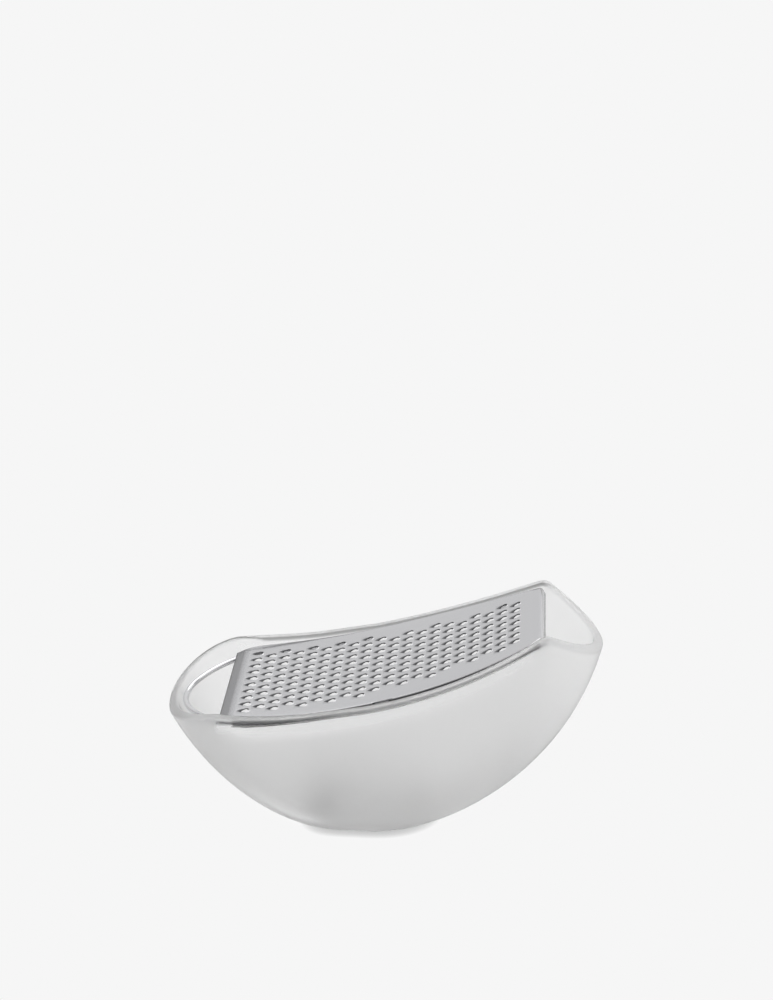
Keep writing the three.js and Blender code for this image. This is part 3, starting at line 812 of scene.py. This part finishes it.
class GRATER_OT_wire(bpy.types.Operator):
    """Wire loop: a round section carried along both legs and the bow"""

    bl_idname = "grater.wire"
    bl_label = "Wire loop"

    def path(self, form):
        """Middle line of the wire, from one leg's end round the bow to the other's."""
        wire = form.wire

        def leg_point(x, side):
            dip = wire.dip * (1 - smooth_share(x, form.plate_start, form.fold_x + DIP_END))
            z = arc_z(form.plate_arc, x, form.wire_drop) - dip
            return Vector((x, side * form.outline_width(x, z, form.wire_inset), z))

        def bow_point(turn):
            start = leg_point(form.plate_start, 1)
            reach = max(0, math.sin(turn)) ** (2 / wire.bow_power)
            return Vector((
                form.plate_start - wire.bow_length * reach, start.y * math.cos(turn), start.z - wire.bow_drop * reach
            ))

        leg_end = form.plate_end - form.plate.sheet - wire.end_gap
        stations = [leg_end + (form.plate_start - leg_end) * k / LEG_STEPS for k in range(LEG_STEPS)]
        points = [leg_point(x, 1) for x in stations]
        points += [bow_point(math.pi * k / BOW_STEPS) for k in range(BOW_STEPS + 1)]
        points += [leg_point(x, -1) for x in reversed(stations)]
        return [p + Vector((form.hull.shift, 0, 0)) for p in points]

    def execute(self, context):
        form = Form(context.scene)
        points = self.path(form)
        places = []
        for k, point in enumerate(points):
            ahead = points[min(k + 1, len(points) - 1)] - points[max(k - 1, 0)]
            places.append(Matrix.Translation(point) @ ahead.to_track_quat("Z", "Y").to_matrix().to_4x4())
        bm = bmesh.new()
        bmesh.ops.create_circle(bm, segments=WIRE_SIDES, radius=form.wire.diameter / 2, cap_ends=True)
        bmesh.ops.transform(bm, matrix=places[0], verts=bm.verts)
        ring = list(bm.edges)
        for before, now in zip(places, places[1:]):
            extruded = bmesh.ops.extrude_edge_only(bm, edges=ring)["geom"]
            ring = [g for g in extruded if isinstance(g, bmesh.types.BMEdge)]
            made = list({v for e in ring for v in e.verts})
            bmesh.ops.transform(bm, matrix=now @ before.inverted(), verts=made)
        bmesh.ops.holes_fill(bm, edges=ring, sides=0)
        bmesh.ops.recalc_face_normals(bm, faces=bm.faces)
        piece = finish_mesh(bm, "wire_bow", "insert", "wire_loop")
        piece.data.materials.append(bright_steel(context.scene.grater_finish))
        return {"FINISHED"}


class GRATER_OT_stage(bpy.types.Operator):
    """Stage: a pale floor, soft light from all round and the camera"""

    bl_idname = "grater.stage"
    bl_label = "Stage"

    def execute(self, context):
        scene = context.scene
        scene.view_settings.view_transform = "Standard"
        bm = bmesh.new()
        bmesh.ops.create_grid(bm, x_segments=1, y_segments=1, size=FLOOR_HALF)
        bmesh.ops.translate(bm, verts=bm.verts, vec=(0, FLOOR_HALF - FLOOR_FRONT, -FLOOR_DROP))
        mesh = bpy.data.meshes.new("floor")
        bm.to_mesh(mesh)
        bm.free()
        floor = bpy.data.objects.new("floor", mesh)
        scene.collection.objects.link(floor)
        mesh.materials.append(self.floor_material(scene.grater_finish, scene.grater_hull.shift))
        self.light_world(scene)
        lamp = bpy.data.lights.new("top", "SUN")
        lamp.energy = SUN_STRENGTH
        lamp.angle = SUN_SIZE
        holder = bpy.data.objects.new("top", lamp)
        holder.rotation_euler = (SUN_TILT, 0, 0)
        scene.collection.objects.link(holder)
        camera = bpy.data.cameras.new("camera")
        camera.lens = CAMERA_LENS
        camera.sensor_width = CAMERA_SENSOR
        camera.clip_start = 10 * MM
        holder = bpy.data.objects.new("camera", camera)
        holder.location = CAMERA_PLACE
        holder.rotation_euler = CAMERA_TURN
        scene.collection.objects.link(holder)
        scene.camera = holder
        return {"FINISHED"}

    def floor_material(self, look, shift):
        """Matt white paper, even to the camera and in reflections, with a painted contact shadow from what stands
        close above it and a painted pool of light under the base, for the light that comes through the resin.
        """
        material, output = new_material("matt_paper")
        path = add_node(material, "ShaderNodeLightPath")
        seen = path.outputs["Is Camera Ray"]
        for ray in ("Is Glossy Ray", "Is Transmission Ray"):
            either = add_node(material, "ShaderNodeMath", {"operation": "MAXIMUM"}, _0=seen, _1=path.outputs[ray])
            seen = either.outputs[0]
        # The glow carries a painted contact shadow from ambient occlusion and a painted pool of light under the base.
        shade = add_node(material, "ShaderNodeAmbientOcclusion", {"samples": 8, "Distance": CONTACT_REACH})
        level = add_node(material, "ShaderNodeMapRange", {"To Min": CONTACT_LEVEL}, Value=shade.outputs["AO"])
        place = add_node(material, "ShaderNodeTexCoord")
        base = add_node(
            material, "ShaderNodeMapping",
            {"Location": (-shift / BASE_LIT[0], 0, 0), "Scale": (1 / BASE_LIT[0], 1 / BASE_LIT[1], 0)},
            Vector=place.outputs["Object"],
        )
        reach = add_node(material, "ShaderNodeVectorMath", {"operation": "LENGTH"}, _0=base.outputs[0])
        lit = add_node(
            material, "ShaderNodeMapRange", {"From Min": 0.75, "From Max": 1.0, "To Min": BASE_LEVEL, "To Max": 0.0},
            Value=reach.outputs["Value"],
        )
        level = add_node(
            material, "ShaderNodeMath", {"operation": "MAXIMUM"}, _0=level.outputs[0], _1=lit.outputs[0]
        )
        glow = add_node(material, "ShaderNodeEmission", {"Color": look.ground}, Strength=level.outputs[0])
        plain = add_node(material, "ShaderNodeBsdfDiffuse", {"Color": (0.85, 0.85, 0.85, 1)})
        mix = add_node(
            material, "ShaderNodeMixShader", None, _0=seen, _1=plain.outputs[0], _2=glow.outputs[0]
        )
        material.node_tree.links.new(mix.outputs[0], output.inputs["Surface"])
        return material

    def light_world(self, scene):
        """Soft light in bands round the table, dimmer past the mouth's end and brighter past the heel's, with an even
        ground for the camera."""
        world = bpy.data.worlds.new("surround")
        scene.world = world
        world.use_nodes = True
        world.node_tree.nodes.clear()
        output = world.node_tree.nodes.new("ShaderNodeOutputWorld")
        towards = add_node(world, "ShaderNodeTexCoord")
        parts = add_node(world, "ShaderNodeSeparateXYZ", None, _0=towards.outputs["Generated"])
        tilt = add_node(
            world, "ShaderNodeMath", {"operation": "ARCTAN2"}, _0=parts.outputs[2], _1=parts.outputs[1]
        )
        turn = add_node(
            world, "ShaderNodeMapRange", {"From Min": -math.pi, "From Max": math.pi}, Value=tilt.outputs[0]
        )
        levels = add_node(world, "ShaderNodeValToRGB", None, Fac=turn.outputs[0])
        for degrees, level in STUDIO_LEVELS:
            stop = levels.color_ramp.elements.new((degrees + 180) / 360)
            stop.color = (level, level, level, 1)
        side = add_node(
            world, "ShaderNodeMapRange", {"From Min": -1.0, "From Max": -0.75, "To Min": 0.4}, Value=parts.outputs[0]
        )
        heel = add_node(
            world, "ShaderNodeMapRange", {"From Min": 0.2, "From Max": 0.8, "To Min": 1.0, "To Max": 1.35},
            Value=parts.outputs[0],
        )
        fill = add_node(
            world, "ShaderNodeMapRange", {"From Min": 0.3, "From Max": 0.9, "To Min": 0.0, "To Max": 0.8},
            Value=parts.outputs[0],
        )
        share = levels
        for operation, part in (("MULTIPLY", side), ("MULTIPLY", heel), ("MAXIMUM", fill)):
            share = add_node(
                world, "ShaderNodeMath", {"operation": operation}, _0=share.outputs[0], _1=part.outputs[0]
            )
        light = add_node(
            world, "ShaderNodeBackground", {"Color": scene.grater_finish.ground}, Strength=share.outputs[0]
        )
        path = add_node(world, "ShaderNodeLightPath")
        ground = add_node(world, "ShaderNodeBackground", {"Color": scene.grater_finish.ground, "Strength": 1.0})
        mix = add_node(
            world, "ShaderNodeMixShader", None,
            _0=path.outputs["Is Camera Ray"], _1=light.outputs[0], _2=ground.outputs[0],
        )
        world.node_tree.links.new(mix.outputs[0], output.inputs["Surface"])


class GRATER_PT_sidebar(bpy.types.Panel):
    """Lists the grater's pieces and their sizes"""

    bl_idname = "GRATER_PT_sidebar"
    bl_label = "Table grater"
    bl_space_type = "VIEW_3D"
    bl_region_type = "UI"
    bl_category = "Grater"

    def draw(self, context):
        for operator in PIECES:
            self.layout.operator(operator.bl_idname)
        for name, group in GROUPS.items():
            box = self.layout.box()
            box.label(text=group.__doc__)
            for key in group.__annotations__:
                box.prop(getattr(context.scene, name), key)


GROUPS = {
    "grater_hull": HullSettings,
    "grater_rim": RimSettings,
    "grater_seat": SeatSettings,
    "grater_plate": PlateSettings,
    "grater_teeth": ToothSettings,
    "grater_wire": WireSettings,
    "grater_finish": FinishSettings,
}
PIECES = (GRATER_OT_container, GRATER_OT_plate, GRATER_OT_wire, GRATER_OT_stage)
CLASSES = (*GROUPS.values(), *PIECES, GRATER_PT_sidebar)


def register():
    for cls in CLASSES:
        bpy.utils.register_class(cls)
    for name, group in GROUPS.items():
        setattr(bpy.types.Scene, name, PointerProperty(type=group))


def unregister():
    for name in GROUPS:
        delattr(bpy.types.Scene, name)
    for cls in reversed(CLASSES):
        bpy.utils.unregister_class(cls)


def main():
    register()
    bpy.ops.grater.container()
    bpy.ops.grater.plate()
    bpy.ops.grater.wire()
    bpy.ops.grater.stage()


if __name__ == "__main__":
    main()
